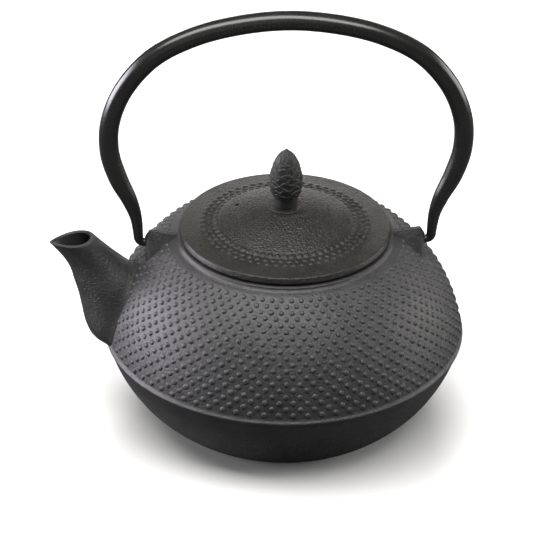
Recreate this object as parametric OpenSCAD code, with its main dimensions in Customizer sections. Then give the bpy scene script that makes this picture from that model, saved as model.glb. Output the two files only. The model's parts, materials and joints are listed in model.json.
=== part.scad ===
// Cast-iron teapot with a studded shoulder, a drop-in lid, a swinging bail handle
// and a lift-out infuser basket.  Millimetres.  Origin at the centre of the base,
// +Z up, spout towards -X, bail pivots along X.

/* [Vessel] */
// Largest radius of the vessel, at its casting seam
body_r = 90; // [88:0.5:92]
// Height of the casting seam
seam_z = 44.3; // [43:0.1:46]
// Radius of the shoulder's arc, from the seam up to the collar
shoulder_round = 76.6; // [76:0.1:77.2]
// Height of that arc's centre
shoulder_z = 33.6; // [33.3:0.1:34]
// Radius of the bowl's arc, from the seam down to the base
bowl_round = 73.2; // [72:0.1:75]
// Height of that arc's centre
bowl_z = 62; // [61:0.1:63]
// Wall thickness of the casting
wall = 3.2; // [2.8:0.1:3.6]
// Thickness of the base
floor_t = 4; // [3.5:0.1:5]
// Outer radius of the collar round the mouth
collar_r = 53.5; // [53:0.1:54]
// Height of the collar's top
collar_z = 99.2; // [99:0.1:99.3]
// Radius of the mouth
mouth_r = 46; // [45.8:0.1:46.4]
// Radius of the recess that the infuser's flange drops into
recess_r = 49.6; // [49.5:0.1:50]
// Depth of that recess
recess_depth = 2.5; // [2.2:0.1:2.8]

/* [Spout] */
// Wall thickness of the spout
spout_wall = 2; // [1.8:0.1:2.4]

/* [Ears] */
// Height of the bail's pivot axis
pivot_z = 94.2; // [94:0.1:94.4]
// Distance of each ear's nose from the middle
ear_nose_x = 69.4; // [69:0.1:69.6]
// Height of each ear's ridge
ear_top_z = 101.3; // [101:0.1:102]
// Half of each ear's width at its foot
ear_half_w = 8.5; // [8:0.1:9]
// Radius of the hole in each ear
ear_hole_r = 1.78; // [1.76:0.01:1.79]
// Depth of that hole
ear_hole_depth = 7.1; // [6.9:0.1:7.2]

/* [Bail] */
// Radius of the bail's tube
bail_tube_r = 4.8; // [4.6:0.1:4.9]
// Radius of the pin at each end of the bail
bail_pin_r = 1.7; // [1.69:0.01:1.71]
// Length of each pin inside its ear
bail_pin_depth = 6.5; // [6:0.1:6.7]

/* [Lid] */
// Radius of the lid
lid_r = 52.5; // [52:0.1:53]
// Height of the lid's underside
lid_z = 99.3; // [99.3:0.05:99.5]
// Thickness of the lid at its edge
lid_edge_t = 4; // [3.8:0.1:4.2]
// Height of the lid's dome at the knob's boss
lid_dome_z = 114.4; // [114:0.1:115]
// Outer radius of the ring under the lid that centres it
skirt_r = 43.5; // [43:0.1:43.8]
// Depth of that ring under the lid
skirt_depth = 7; // [5:0.5:7]
// Radius of the steam vent
vent_r = 1.25; // [1:0.05:1.5]

/* [Knob] */
// Radius of the boss under the knob
boss_r = 8.8; // [8.5:0.1:9.2]
// Radius of the knob's neck
knob_neck_r = 5.8; // [5.5:0.1:6]
// Largest radius of the cone-shaped knob
knob_r = 7.9; // [7.5:0.1:8.1]
// Height of the knob's tip
knob_tip_z = 146.1; // [145.5:0.1:147]
// Radius of the knob's screw
screw_r = 2; // [1.8:0.1:2.2]

/* [Infuser] */
// Outer radius of the infuser's wall
infuser_r = 45; // [44.9:0.05:45.1]
// Height of the infuser's bottom
infuser_z = 50; // [48:1:56]

/* [Hidden] */
$fn = 96;

iron = [0.20, 0.20, 0.21];
black = [0.08, 0.08, 0.09];
steel = [0.75, 0.76, 0.78];
play = 0.1;

// Vessel: one arc for the shoulder and one for the bowl, which meet at the seam.
stud_h = 0.8;                             // the shoulder's studs stand this far proud
surface_r = body_r - stud_h;
step_z = seam_z - 1.2;                    // the bowl starts just under the seam
fillet_z = collar_z - 3.1;                // foot of the collar's upright band
arc_steps = 14;

function reach(radius, rise) = sqrt(radius * radius - rise * rise);
shoulder_centre = [surface_r - reach(shoulder_round, seam_z - shoulder_z), shoulder_z];
bowl_centre = [body_r - 1 - reach(bowl_round, bowl_z - step_z), bowl_z];

// Points of an arc in the r-z half plane, centred on c, between two angles or two heights.
function arc(c, r, from, to, steps = arc_steps) =
    [for (i = [0:steps]) let (a = from + (to - from) * i / steps) c + r * [cos(a), sin(a)]];
function arc_up(c, r, low, high) = arc(c, r, asin((low - c[1]) / r), asin((high - c[1]) / r));

// The casting's outer line from the base up to the collar's foot, and its inner line.
function outer_line() = concat(
    arc_up(bowl_centre, bowl_round, 0, step_z),
    arc_up(shoulder_centre, shoulder_round, seam_z, fillet_z - 0.4));
function inner_line() = concat(
    arc_up(bowl_centre, bowl_round - wall, floor_t, step_z),
    arc_up(shoulder_centre, shoulder_round - wall, seam_z, fillet_z - 4.5));
collar_line = [[collar_r + 2.6, fillet_z + 0.4], [collar_r + 0.9, fillet_z + 1.1],
    [collar_r, fillet_z + 2.2], [collar_r, collar_z - 0.6]];

// A solid of the vessel's whole outside, for cutting what is cast onto it.
module vessel_outside() {
    rotate_extrude()
        polygon(concat([[0, 0]], outer_line(), collar_line, [[collar_r, collar_z], [0, collar_z]]));
    seam_ridge();
}

// The vessel casting, hollow, with its seam ridge, mouth, recess and the way out to the spout.
module vessel_body() {
    recess_z = collar_z - recess_depth;
    inside = inner_line();
    color(iron)
    difference() {
        union() {
            rotate_extrude()
                polygon(concat(outer_line(), collar_line,
                    [[collar_r - 0.6, collar_z], [recess_r, collar_z], [recess_r, recess_z],
                     [mouth_r, recess_z], [mouth_r, recess_z - 4]],
                    [for (i = [len(inside) - 1:-1:0]) inside[i]],
                    [[0, floor_t], [0, 0]]));
            seam_ridge();
        }
        spout_shape(spout_wall);
    }
}

// The low ridge left at the casting's seam.
module seam_ridge() {
    ridge_in = surface_r - 1.6;
    rotate_extrude()
        polygon([[ridge_in, seam_z - 1], [body_r - 0.7, seam_z - 1], [body_r, seam_z - 0.2],
            [body_r, seam_z + 0.6], [body_r - 0.8, seam_z + 1.4], [ridge_in, seam_z + 1.4]]);
}

// Spout: rings from the lip down into the vessel.  Each ring is
// [inner end x, z, outer end x, z, half width, how pointed the outer end is].
spout_rings = [
    [-94.4, 97.6, -116.8, 95, 8.3, 0.36],
    [-89.8, 93.2, -110.8, 87.8, 8.7, 0.26],
    [-85, 88.6, -106.8, 81, 10, 0.18],
    [-79.6, 83.8, -104.8, 73.8, 12.2, 0.12],
    [-73.5, 78.2, -102.8, 66.6, 14.8, 0.08],
    [-69.5, 70, -101.3, 58.8, 17.2, 0.05],
    [-69, 58.4, -99.6, 50.4, 19.2, 0.02],
    [-69.5, 49, -96.4, 45.2, 19.6, 0],
    [-70, 43.6, -88.6, 42.6, 17.5, 0]];
ring_sides = 40;
ring_steps = 4;

function spline(a, b, c, d, t) =
    0.5 * (2 * b + (c - a) * t + (2 * a - 5 * b + 4 * c - d) * t * t + (3 * b - a - 3 * c + d) * t * t * t);
function key(list, i) = list[max(0, min(len(list) - 1, i))];
function along(list, steps) = concat(
    [for (i = [0:len(list) - 2], j = [0:steps - 1])
        spline(key(list, i - 1), key(list, i), key(list, i + 1), key(list, i + 2), j / steps)],
    [list[len(list) - 1]]);

// Half width of a ring at angle a: round at its inner end, pointed at its outer end.
function taper_peak(q) = 2 * sqrt(1 / (2 + 2 * q)) * pow((1 + 2 * q) / (2 + 2 * q), (1 + 2 * q) / 2);
function ring_side(a, q) = 2 * sin(a / 2) * pow(abs(cos(a / 2)), 1 + 2 * q) / taper_peak(q);
function ring_points(k, t) = let (
        inner = [k[0], k[1]], outer = [k[2], k[3]], middle = (inner + outer) / 2,
        half = norm(inner - outer) / 2, way = (inner - outer) / (2 * half))
    [for (i = [0:ring_sides - 1]) let (
            a = 360 * i / ring_sides,
            s = middle + way * (half - t * 1.15) * cos(a),
            y = (k[4] - t) * (a <= 180 ? ring_side(a, k[5]) : -ring_side(360 - a, k[5])))
        [s[0], y, s[1]]];

// A closed solid through the spout's rings, moved in by t.  The bore (t above 0) starts above
// the lip and stops a ring short of the spout's foot, which leaves that closed.
module spout_shape(t) {
    rings = along(spout_rings, ring_steps);
    above_lip = rings[0] + [3, 3, 0, 3, 0, 0];
    used = t > 0 ? concat([above_lip], [for (i = [0:len(rings) - 1 - ring_steps]) rings[i]]) : rings;
    last = len(used) - 1;
    points = [for (k = used) each ring_points(k, t)];
    n = ring_sides;
    polyhedron(points, concat(
        [[for (i = [n - 1:-1:0]) i]],
        [for (r = [0:last - 1], i = [0:n - 1]) let (j = (i + 1) % n)
            each [[r * n + i, r * n + j, (r + 1) * n + j], [r * n + i, (r + 1) * n + j, (r + 1) * n + i]]],
        [[for (i = [0:n - 1]) last * n + i]]), 6);
}

module spout() {
    color(iron)
    difference() {
        spout_shape(0);
        spout_shape(spout_wall);
        vessel_outside();
    }
}

// One ear: a wedge with a narrow ridge on top, a blunt nose and a blind hole for the bail's pin.
module ear() {
    ridge_half = 1.2;
    ridge_out = ear_nose_x - 3.1;
    nose_half = 2.6;
    foot_z = 82;
    foot_in = collar_r - 4;
    corner_in = ear_nose_x - 1.9;
    corner_y = ear_half_w - 3;
    color(iron)
    difference() {
        hull() {
            translate([collar_r - 1.5, 0, collar_z - ridge_half]) sphere(ridge_half, $fn = 24);
            translate([ridge_out, 0, ear_top_z - ridge_half]) sphere(ridge_half, $fn = 24);
            translate([ear_nose_x - nose_half, 0, pivot_z + 2.4]) sphere(nose_half, $fn = 24);
            translate([0, 0, foot_z]) linear_extrude(0.5)
                polygon([[foot_in, -ear_half_w], [corner_in, -ear_half_w], [ear_nose_x, -corner_y],
                    [ear_nose_x, corner_y], [corner_in, ear_half_w], [foot_in, ear_half_w]]);
        }
        vessel_outside();
        cylinder(r = collar_r, h = ear_top_z + 1);
        translate([ear_nose_x - ear_hole_depth, 0, pivot_z]) rotate([0, 90, 0])
            cylinder(r = ear_hole_r, h = 20);
    }
}
module ear_right() ear();
module ear_left() mirror([1, 0, 0]) ear();

// Bail: half of its centre line as [x, z, radius], from the top of the arch down to the hook,
// which is a quarter turn that ends at the ear.
hook_round = 3;
hook_x = ear_nose_x + 0.2;
bail_half = [
    [0, 215.7, bail_tube_r], [23, 213.5, bail_tube_r], [44.6, 207.6, bail_tube_r],
    [64, 197, bail_tube_r], [78, 180.8, bail_tube_r], [85.3, 163, bail_tube_r],
    [86.2, 146, bail_tube_r], [82.3, 131, bail_tube_r - 0.1], [76.8, 118.5, 3.9], [73.7, 108.5, 3],
    [hook_x + hook_round, pivot_z + hook_round + 1, 2.4]];
bail_sides = 20;
bail_steps = 3;
hook_steps = 5;

module bail() {
    hook = [for (i = [0:hook_steps]) let (a = 90 * i / hook_steps)
        [hook_x + hook_round * cos(a), pivot_z + hook_round * (1 - sin(a)), 2.4 - 0.4 * i / hook_steps]];
    // a mirrored key before the first makes the arch level at its top
    before = [-bail_half[1][0], bail_half[1][1], bail_half[1][2]];
    arch = along(concat([before], bail_half), bail_steps);
    right = concat([for (i = [bail_steps:len(arch) - 1]) arch[i]], hook);
    count = len(right);
    path = concat([for (i = [count - 1:-1:1]) [-right[i][0], right[i][1], right[i][2]]], right);
    last = len(path) - 1;
    n = bail_sides;
    points = [for (i = [0:last]) let (
            ahead = path[min(last, i + 1)], behind = path[max(0, i - 1)],
            run = [ahead[0] - behind[0], (i == 0 || i == last) ? 0 : ahead[1] - behind[1]],
            side = [-run[1], run[0]] / norm(run), c = path[i])
        each [for (j = [0:n - 1]) let (a = 360 * j / n)
            [c[0] + c[2] * cos(a) * side[0], c[2] * sin(a), c[1] + c[2] * cos(a) * side[1]]]];
    color(black)
    union() {
        polyhedron(points, concat(
            [[for (j = [n - 1:-1:0]) j]],
            [for (r = [0:last - 1], j = [0:n - 1]) let (k = (j + 1) % n)
                each [[r * n + j, r * n + k, (r + 1) * n + k],
                    [r * n + j, (r + 1) * n + k, (r + 1) * n + j]]],
            [[for (j = [0:n - 1]) last * n + j]]), 6);
        for (s = [-1, 1])
            translate([s * (ear_nose_x - bail_pin_depth), 0, pivot_z]) rotate([0, s * 90, 0])
                cylinder(r = bail_pin_r, h = bail_pin_depth + 1.5);
    }
}

// Lid: a plate, flat near its edge and domed inside, with a centring ring under it and a vent.
dome_foot_r = 36;
dome_round = 60;
lid_body_t = 3.4;
boss_foot_z = lid_dome_z - 0.6;
boss_top_z = lid_dome_z + 0.4;
boss_under_z = boss_foot_z - lid_body_t;
module lid_plate() {
    top_z = lid_z + lid_edge_t;
    foot_z = top_z + 1.6;
    skirt_in = skirt_r - 3;
    skirt_foot_z = lid_z - skirt_depth;
    // the dome's arc, from its foot up to the boss
    foot = [dome_foot_r, foot_z];
    crown = [boss_r, boss_foot_z];
    half = norm(crown - foot) / 2;
    sag = reach(dome_round, half);
    centre = (foot + crown) / 2 - sag * [crown[1] - foot[1], foot[0] - crown[0]] / (2 * half);
    from = atan2(foot[1] - centre[1], foot[0] - centre[0]);
    to = atan2(crown[1] - centre[1], crown[0] - centre[0]);
    color(iron)
    difference() {
        rotate_extrude()
            polygon(concat(
                [[0, boss_under_z], [boss_r, boss_under_z]],
                arc(centre, dome_round - lid_body_t, to, from),
                [[skirt_in, lid_z + 1.2], [skirt_in, skirt_foot_z], [skirt_r, skirt_foot_z],
                 [skirt_r, lid_z], [lid_r - 1.2, lid_z], [lid_r, lid_z + 0.7],
                 [lid_r, top_z - 0.7], [lid_r - 0.7, top_z], [skirt_r - 1, top_z + 0.9]],
                arc(centre, dome_round, from, to),
                [[boss_r, boss_top_z - 0.4], [boss_r - 0.5, boss_top_z], [0, boss_top_z]]));
        cylinder(r = screw_r + play, h = 200);
        rotate([0, 0, 157]) translate([25.6, 0, 90]) cylinder(r = vent_r, h = 40);
    }
}

// Knob: a cone on a short neck, tapped from below.  Its outline is [radius, part of the height].
knob_outline = [[knob_neck_r, 0.11], [6.3, 0.17], [7.3, 0.26], [knob_r, 0.37], [7.8, 0.5], [7, 0.64],
    [5.4, 0.79], [3.1, 0.91], [1, 0.98]];
tapping = 11;
module knob() {
    tall = knob_tip_z - boss_top_z;
    color(iron)
    difference() {
        rotate_extrude()
            polygon(concat(
                [[0, boss_top_z], [knob_neck_r, boss_top_z]],
                [for (p = along(knob_outline, 2)) [p[0], boss_top_z + p[1] * tall]],
                [[0, knob_tip_z]]));
        translate([0, 0, boss_top_z - 1]) cylinder(r = screw_r, h = tapping);
    }
}

// The screw that holds the knob, from under the lid, and its washer.
washer_t = 0.8;
module knob_washer() {
    color(steel)
    translate([0, 0, boss_under_z - washer_t]) difference() {
        cylinder(r = 5, h = washer_t);
        translate([0, 0, -1]) cylinder(r = screw_r + play, h = 3);
    }
}
module knob_screw() {
    head_t = 2;
    under = boss_under_z - washer_t;
    color(steel)
    difference() {
        union() {
            translate([0, 0, under - head_t]) cylinder(r = 3.6, h = head_t);
            translate([0, 0, under - 0.5]) cylinder(r = screw_r, h = 12.5);
        }
        translate([-0.5, -5, under - head_t - 0.1]) cube([1, 10, 1.1]);
    }
}

// Infuser: a flanged rim, a perforated wall, a band round its foot and a perforated floor.
rim_z = collar_z - recess_depth + 0.05;
rim_foot_z = 90;
band_top_z = infuser_z + 6;
module infuser_rim() {
    color(steel)
    rotate_extrude()
        polygon([[infuser_r - 0.6, rim_foot_z], [infuser_r + 0.4, rim_foot_z], [infuser_r + 0.4, rim_z],
            [recess_r - 0.4, rim_z], [recess_r - 0.4, rim_z + 1], [infuser_r - 0.2, rim_z + 1],
            [infuser_r - 0.6, rim_z + 0.6]]);
}
module infuser_wall() {
    color(steel)
    rotate_extrude()
        polygon([[infuser_r - 0.5, band_top_z], [infuser_r, band_top_z], [infuser_r, rim_foot_z],
            [infuser_r - 0.5, rim_foot_z]]);
}
module infuser_band() {
    lip_in = infuser_r - 4;
    color(steel)
    rotate_extrude()
        polygon([[lip_in, infuser_z], [infuser_r + 0.4, infuser_z], [infuser_r + 0.4, band_top_z],
            [infuser_r - 0.6, band_top_z], [infuser_r - 0.6, infuser_z + 0.6], [lip_in, infuser_z + 0.6]]);
}
module infuser_floor() {
    color(steel)
    translate([0, 0, infuser_z + 0.6]) cylinder(r = infuser_r - 0.8, h = 0.5);
}

vessel_body();
spout();
ear_left();
ear_right();
bail();
lid_plate();
knob();
knob_screw();
knob_washer();
infuser_rim();
infuser_wall();
infuser_band();
infuser_floor();
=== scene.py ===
"""Looks of a studded cast-iron teapot with a pinecone knob, a swinging bail and an infuser basket.

Shapes are worked out in millimetres in the row frame (+Z up, spout towards -X) and put into Blender
in metres.  Every piece is one closed surface that rides on the CAD body it belongs to.
"""

import json
import math

import bmesh
import bpy
import numpy as np
from mathutils import Matrix, Vector
from mathutils.bvhtree import BVHTree
from mathutils.kdtree import KDTree


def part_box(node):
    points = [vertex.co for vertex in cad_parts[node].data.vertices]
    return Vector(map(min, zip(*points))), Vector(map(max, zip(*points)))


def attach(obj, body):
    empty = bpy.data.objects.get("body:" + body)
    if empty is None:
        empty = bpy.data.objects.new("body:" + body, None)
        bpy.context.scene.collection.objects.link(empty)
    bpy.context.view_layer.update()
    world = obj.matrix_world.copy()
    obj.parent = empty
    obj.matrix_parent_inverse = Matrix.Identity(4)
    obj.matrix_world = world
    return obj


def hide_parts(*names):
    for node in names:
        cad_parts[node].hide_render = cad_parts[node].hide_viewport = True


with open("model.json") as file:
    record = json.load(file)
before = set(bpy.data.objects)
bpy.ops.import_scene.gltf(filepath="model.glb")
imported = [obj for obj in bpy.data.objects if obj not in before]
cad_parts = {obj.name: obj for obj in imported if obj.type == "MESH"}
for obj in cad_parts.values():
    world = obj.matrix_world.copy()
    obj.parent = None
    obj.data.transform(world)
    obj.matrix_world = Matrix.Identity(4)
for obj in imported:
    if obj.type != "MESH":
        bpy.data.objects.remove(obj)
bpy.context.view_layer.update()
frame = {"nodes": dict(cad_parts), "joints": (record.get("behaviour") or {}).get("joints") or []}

MM = 0.001
TURN = 2 * math.pi


def box_mm(node):
    """A node's lowest and highest corners, in millimetres."""
    low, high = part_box(node)
    return np.array(low) / MM, np.array(high) / MM


vessel_high = box_mm("vessel_body")[1]
lid_low, lid_high = box_mm("lid_plate")
knob_low, knob_high = box_mm("knob")
ear_high = box_mm("ear_right")[1]
pivot_z = next(j for j in frame["joints"] if j["name"] == "bail_swing")["pos_m"][2] / MM

# Vessel, in millimetres
BODY_R = vessel_high[1]
COLLAR_Z = vessel_high[2]
SEAM_Z = 44.3
STUD_H = 0.8
SURFACE_R = BODY_R - STUD_H
STEP_Z = SEAM_Z - 1.2
SHOULDER_ROUND, SHOULDER_Z = 76.6, 33.6
BOWL_ROUND, BOWL_Z = 73.2, 62.0
WALL, FLOOR_T = 3.2, 4.0
COLLAR_R, MOUTH_R, RECESS_R, RECESS_DEPTH = 53.5, 46.0, 49.6, 2.5
SPOUT_WALL = 2.0
EAR_NOSE_X = ear_high[0]
EAR_HOLE_R, EAR_HOLE_DEPTH = 1.78, 7.1
EAR_TOP_Z = ear_high[2]
EAR_HALF_W, EAR_FOOT_Z = 8.5, 82.0
RIDGE_HALF, NOSE_HALF, FOOT_CORNER = 1.2, 2.6, 0.7
RIDGE_SET_BACK, FOOT_SET_BACK, FOOT_TAPER = 3.1, 1.9, 3
NOSE_UP = 2.4
EAR_IN_COLLAR, RIDGE_IN_COLLAR = 4, 1.5


# ---------------------------------------------------------------- camera, light and floor

CAMERA_AIM = Vector((0, 0, 0.060))
CAMERA_AZIMUTH = math.radians(-2.9)
CAMERA_ELEVATION = math.radians(31.22)
CAMERA_ROLL = math.radians(0.76)
CAMERA_DISTANCE = 1.6
CAMERA_LENS = 212.9
FRAMING_LEFT, FRAMING_UP = 0.00706, 0.01448


def make_camera():
    """A long lens above and in front of the teapot, a little towards its spout."""
    turn = Matrix.Rotation(CAMERA_AZIMUTH, 3, "Z")
    sin_e, cos_e = math.sin(CAMERA_ELEVATION), math.cos(CAMERA_ELEVATION)
    back = turn @ Vector((0, -cos_e, sin_e))
    level_right = turn @ Vector((1, 0, 0))
    level_up = turn @ Vector((0, sin_e, cos_e))
    right = level_right * math.cos(CAMERA_ROLL) + level_up * math.sin(CAMERA_ROLL)
    up = level_up * math.cos(CAMERA_ROLL) - level_right * math.sin(CAMERA_ROLL)
    data = bpy.data.cameras.new("camera")
    data.lens = CAMERA_LENS
    data.sensor_width = 36
    data.clip_start, data.clip_end = 0.05, 50
    camera = bpy.data.objects.new("camera", data)
    bpy.context.scene.collection.objects.link(camera)
    place = CAMERA_AIM - FRAMING_LEFT * right + FRAMING_UP * up + CAMERA_DISTANCE * back
    turned = Matrix((right, up, back)).transposed().to_4x4()
    camera.matrix_world = Matrix.Translation(place) @ turned
    bpy.context.scene.camera = camera


def soft_box(name, place, aim, size, watts, colour, gloss=True, matt=True):
    """An area light.  Without gloss it makes no reflections; without matt it makes nothing else."""
    data = bpy.data.lights.new(name, "AREA")
    data.shape = "RECTANGLE"
    data.size, data.size_y = size
    data.energy = watts
    data.color = colour
    light = bpy.data.objects.new(name, data)
    bpy.context.scene.collection.objects.link(light)
    light.location = place
    light.rotation_mode = "QUATERNION"
    light.rotation_quaternion = (Vector(aim) - Vector(place)).to_track_quat("-Z", "Y")
    light.visible_camera = False
    light.visible_glossy = gloss
    light.visible_diffuse = matt


def make_world(seen, lit):
    """A white surround for the camera that gives the object a weaker, even light."""
    world = bpy.data.worlds.new("studio")
    bpy.context.scene.world = world
    world.use_nodes = True
    tree = world.node_tree
    tree.nodes.clear()
    out = tree.nodes.new("ShaderNodeOutputWorld")
    mix = tree.nodes.new("ShaderNodeMixShader")
    path = tree.nodes.new("ShaderNodeLightPath")
    shades = []
    for strength in (lit, seen):
        shade = tree.nodes.new("ShaderNodeBackground")
        shade.inputs["Color"].default_value = (1, 1, 1, 1)
        shade.inputs["Strength"].default_value = strength
        shades.append(shade)
    tree.links.new(path.outputs["Is Camera Ray"], mix.inputs[0])
    tree.links.new(shades[0].outputs[0], mix.inputs[1])
    tree.links.new(shades[1].outputs[0], mix.inputs[2])
    tree.links.new(mix.outputs[0], out.inputs[0])


FLOOR_HALF = 3.0
FLOOR_SEEN, FLOOR_REFLECTED = 0.62, 0.08


def make_floor():
    """Pale paper that the camera sees, which throws only a little light back up at the object."""
    half = FLOOR_HALF
    mesh = bpy.data.meshes.new("floor")
    corners = [(-half, -half, 0), (half, -half, 0), (half, half, 0), (-half, half, 0)]
    mesh.from_pydata(corners, [], [(0, 1, 2, 3)])
    floor = bpy.data.objects.new("floor", mesh)
    bpy.context.scene.collection.objects.link(floor)
    material = bpy.data.materials.new("floor_paper")
    material.use_nodes = True
    tree = material.node_tree
    tree.nodes.clear()
    out = tree.nodes.new("ShaderNodeOutputMaterial")
    mix = tree.nodes.new("ShaderNodeMixShader")
    path = tree.nodes.new("ShaderNodeLightPath")
    for socket, shade in ((1, FLOOR_REFLECTED), (2, FLOOR_SEEN)):
        paper = tree.nodes.new("ShaderNodeBsdfDiffuse")
        paper.inputs["Color"].default_value = (shade, shade, shade, 1)
        tree.links.new(paper.outputs[0], mix.inputs[socket])
    tree.links.new(path.outputs["Is Camera Ray"], mix.inputs[0])
    tree.links.new(mix.outputs[0], out.inputs[0])
    mesh.materials.append(material)


WORLD_SEEN, WORLD_LIT = 1.0, 0.05
WHITE = (1.0, 1.0, 1.0)
WARM = (1.0, 0.98, 0.95)
FLOOR_AIM, BODY_AIM, LID_AIM, RIM_AIM = (0, 0, 0), (0, 0, 0.06), (0, 0, 0.08), (0, 0, 0.1)


def make_lights():
    """The studio's soft boxes: place, aim, size and watts of each, in metres."""
    soft_box("overhead", (-0.15, -0.38, 1.35), BODY_AIM, (2.0, 0.66), 42, (1.0, 0.99, 0.97))
    soft_box("front_box", (-0.35, -1.7, 0.8), BODY_AIM, (1.6, 1.0), 2, (1.0, 0.98, 0.97))
    soft_box("back_fill", (0.0, 1.3, 1.4), FLOOR_AIM, (1.2, 0.8), 46, (1.0, 0.99, 0.98), gloss=False)
    soft_box("left_fill", (-1.5, -0.2, 0.45), FLOOR_AIM, (0.8, 0.8), 11, WHITE, gloss=False)
    soft_box("right_fill", (1.5, -0.2, 0.45), FLOOR_AIM, (0.8, 0.8), 14, WHITE, gloss=False)
    soft_box("left_box", (-1.4, 0.25, 0.3), LID_AIM, (1.2, 0.6), 38, (0.96, 0.92, 1.0), matt=False)
    soft_box("right_box", (1.4, 0.25, 0.3), LID_AIM, (1.2, 0.6), 13, WARM, matt=False)
    soft_box("backdrop_glow", (0.1, 1.7, 0.2), RIM_AIM, (1.4, 0.2), 5, WARM, matt=False)


make_camera()
make_world(WORLD_SEEN, WORLD_LIT)
make_floor()
make_lights()
bpy.context.scene.view_settings.view_transform = "Standard"


# ---------------------------------------------------------------- lines and surfaces

def arc_points(centre, radius, low, high, steps):
    """Points of an arc in the r-z half plane between two heights."""
    start = math.asin((low - centre[1]) / radius)
    end = math.asin((high - centre[1]) / radius)
    return [polar(centre, radius, start + (end - start) * i / steps) for i in range(steps + 1)]


def polar(centre, radius, angle):
    """The point at an angle on a circle."""
    return centre[0] + radius * math.cos(angle), centre[1] + radius * math.sin(angle)


def rounded(corners, steps=4):
    """A line through corners (r, z, round), with each corner's round drawn as a short curve."""
    line = []
    for i, (r, z, round_by) in enumerate(corners):
        here = np.array((r, z), float)
        if round_by == 0 or i in (0, len(corners) - 1):
            line.append(tuple(here))
            continue
        ends = []
        for other in (corners[i - 1], corners[i + 1]):
            way = np.array(other[:2], float) - here
            length = np.linalg.norm(way)
            ends.append(here + way / length * min(round_by, 0.49 * length))
        for k in range(steps + 1):
            t = k / steps
            line.append(tuple((1 - t) ** 2 * ends[0] + 2 * t * (1 - t) * here + t * t * ends[1]))
    return line


def split_line(line, longest):
    """The same line with no stretch longer than the given length."""
    made = [line[0]]
    for a, b in zip(line, line[1:]):
        parts = max(1, math.ceil(math.dist(a, b) / longest))
        a, b = np.array(a), np.array(b)
        made.extend(tuple(a + (b - a) * k / parts) for k in range(1, parts + 1))
    return made


class Skin:
    """Points in millimetres and the faces between them, with outward normals."""

    def __init__(self):
        self.points = []
        self.faces = []

    def add(self, points):
        start = len(self.points)
        self.points.extend(tuple(map(float, p)) for p in points)
        return list(range(start, len(self.points)))

    def ring(self, r, z, count):
        return self.add((r * math.cos(TURN * i / count), r * math.sin(TURN * i / count), z)
                        for i in range(count))

    def band(self, low, high):
        """Quads between two rings of as many points."""
        n = len(low)
        self.faces.extend((low[i], low[(i + 1) % n], high[(i + 1) % n], high[i]) for i in range(n))

    def fan(self, point, ring, point_first):
        """Triangles between one point and a ring, which comes after the point or before it."""
        n = len(ring)
        for i in range(n):
            j = (i + 1) % n
            self.faces.append((point, ring[j], ring[i]) if point_first else (ring[i], ring[j], point))

    def revolve(self, line, count):
        """Turns an r-z line about the axis.  A line that starts or ends on the axis is closed there.
        Gives the first and last rings."""
        rings = []
        for r, z in line:
            rings.append(self.add([(0, 0, z)]) if r < 1e-6 else self.ring(r, z, count))
        for low, high in zip(rings, rings[1:]):
            if len(low) == 1:
                self.fan(low[0], high, True)
            elif len(high) == 1:
                self.fan(high[0], low, False)
            else:
                self.band(low, high)
        return rings[0], rings[-1]

    def face_outward(self):
        """Turns every face over if the surface encloses a negative volume."""
        points = np.array(self.points)
        volume = 0.0
        for face in self.faces:
            for b, c in zip(face[1:], face[2:]):
                volume += np.dot(points[face[0]], np.cross(points[b], points[c]))
        if volume < 0:
            self.faces = [face[::-1] for face in self.faces]

    def object(self, name, material):
        mesh = bpy.data.meshes.new(name)
        mesh.from_pydata((np.array(self.points) * MM).tolist(), [], self.faces)
        mesh.validate()
        made = bpy.data.objects.new(name, mesh)
        bpy.context.scene.collection.objects.link(made)
        mesh.materials.append(material)
        mesh.shade_smooth()
        return made

    def tree(self):
        return BVHTree.FromPolygons(self.points, self.faces)


def boolean(target, cutter, how):
    """Joins cutter to target, or cuts it away, and removes cutter."""
    change = target.modifiers.new("cut", "BOOLEAN")
    change.operation = how
    change.object = cutter
    change.solver = "MANIFOLD"
    change.material_mode = "TRANSFER"
    dg = bpy.context.evaluated_depsgraph_get()
    made = bpy.data.meshes.new_from_object(target.evaluated_get(dg))
    target.modifiers.clear()
    old = target.data
    target.data = made
    bpy.data.meshes.remove(old)
    bpy.data.objects.remove(cutter)
    if len(made.polygons) == 0:
        raise ValueError("the " + how + " on " + target.name + " left nothing")


def shade(made, sharp_degrees):
    """Smooth shading that breaks at edges sharper than the given angle."""
    mesh = made.data
    mesh.shade_smooth()
    bm = bmesh.new()
    bm.from_mesh(mesh)
    for edge in bm.edges:
        if len(edge.link_faces) == 2:
            edge.smooth = edge.calc_face_angle() < math.radians(sharp_degrees)
    bm.to_mesh(mesh)
    bm.free()


# ---------------------------------------------------------------- materials

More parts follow.
